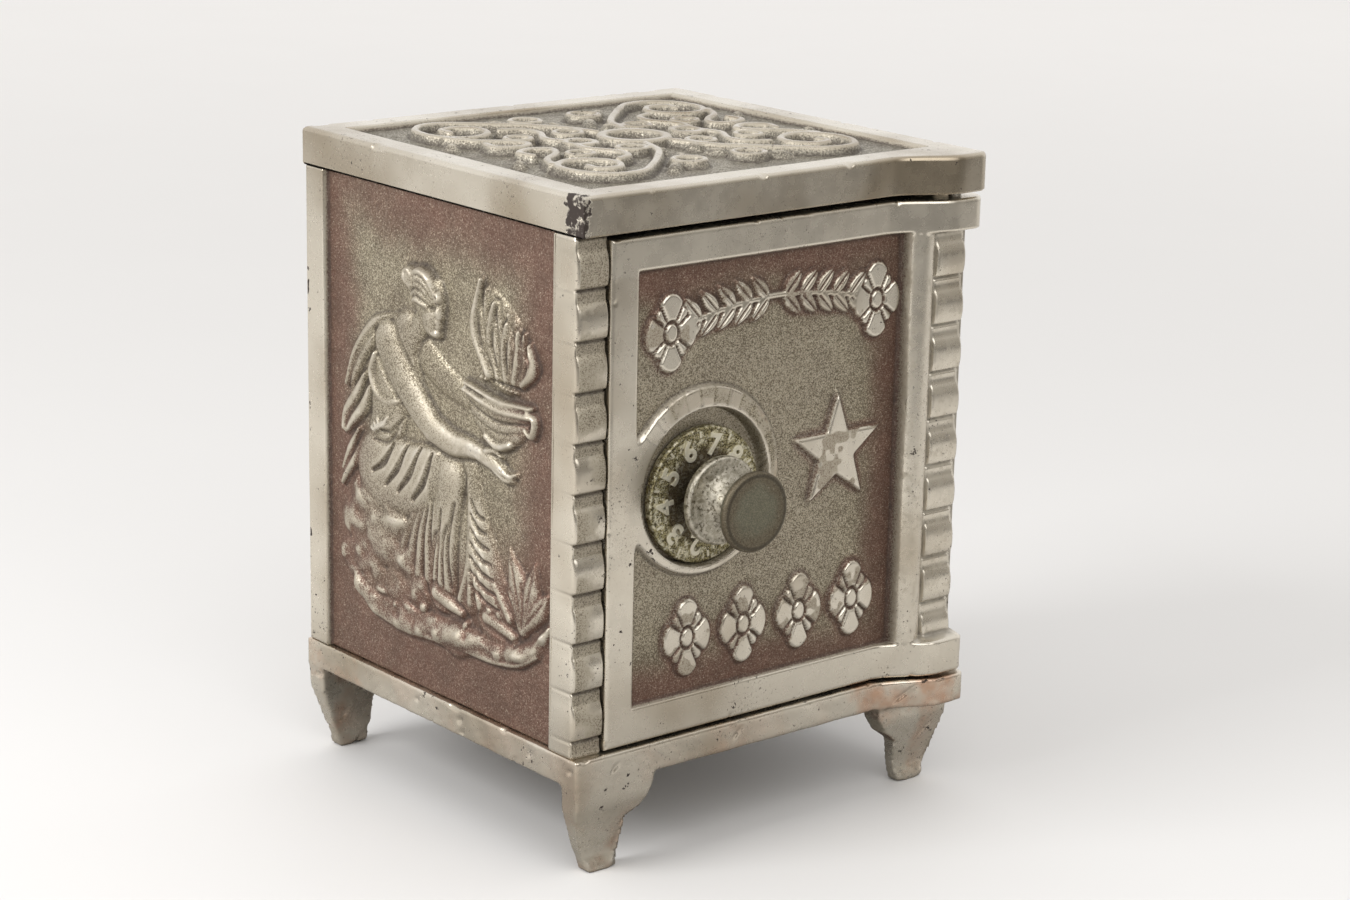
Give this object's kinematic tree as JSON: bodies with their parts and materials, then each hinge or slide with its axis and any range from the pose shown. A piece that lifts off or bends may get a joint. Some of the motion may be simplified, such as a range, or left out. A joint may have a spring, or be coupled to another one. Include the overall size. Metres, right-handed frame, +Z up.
{
  "type": "toy safe coin bank",
  "caption": "Cast box coin bank on bracket feet, with a hinged front door, a dial knob turning notched lock wheels, and a coin slot in the back.",
  "frame": {"origin": "on the ground under the middle of the whole object, knob and flared front included", "axes": "+Z up, the door faces -Y, +X towards the hinge side"},
  "size_m": [0.093, 0.1008, 0.1263],
  "materials": {
    "nickelled_casting": "worn nickel plate over cast iron, dark patina in the sunk panels",
    "knob_metal": "dull pitted nickel",
    "dial_brass": "tarnished, with raised worn numbers",
    "bushing_brass": "turned",
    "lock_steel": "plain steel, lightly oxidised"
  },
  "bodies": {
    "box": {"top_cap": "nickelled_casting", "base": "nickelled_casting", "left_side": "nickelled_casting", "right_side": "nickelled_casting", "back_panel": "nickelled_casting", "tie_screws": "lock_steel", "upper_hinge_pin": "lock_steel", "lower_hinge_pin": "lock_steel", "keeper": "lock_steel", "keeper_screws": "lock_steel"},
    "door": {"door": "nickelled_casting", "spindle_bushing": "bushing_brass", "lock_bridge": "lock_steel", "bridge_screws": "lock_steel"},
    "dial_group": {"knob": "knob_metal", "dial": "dial_brass", "spindle": "lock_steel", "thrust_washer": "lock_steel", "drive_cam": "lock_steel", "drive_pin": "lock_steel", "wheel_spacer": "lock_steel", "end_collar": "lock_steel"},
    "tumbler": {"tumbler_wheel": "lock_steel", "tumbler_pin": "lock_steel"}
  },
  "joints": [
    {"name": "door_swing", "type": "hinge", "parent": "box", "child": "door", "pos_m": [0.04245, -0.03791, 0.071], "axis": [0, 0, 1], "range_deg": [0, 170]},
    {"name": "knob_spin", "type": "hinge", "parent": "door", "child": "dial_group", "pos_m": [-0.01606, -0.03354, 0.0679], "axis": [0, -1, 0], "continuous": true},
    {"name": "tumbler_spin", "type": "hinge", "parent": "door", "child": "tumbler", "pos_m": [-0.01606, -0.02454, 0.0679], "axis": [0, -1, 0], "continuous": true}
  ],
  "couplings": [
    {"joint": "tumbler_spin", "follows": "knob_spin", "ratio": 1}
  ]
}
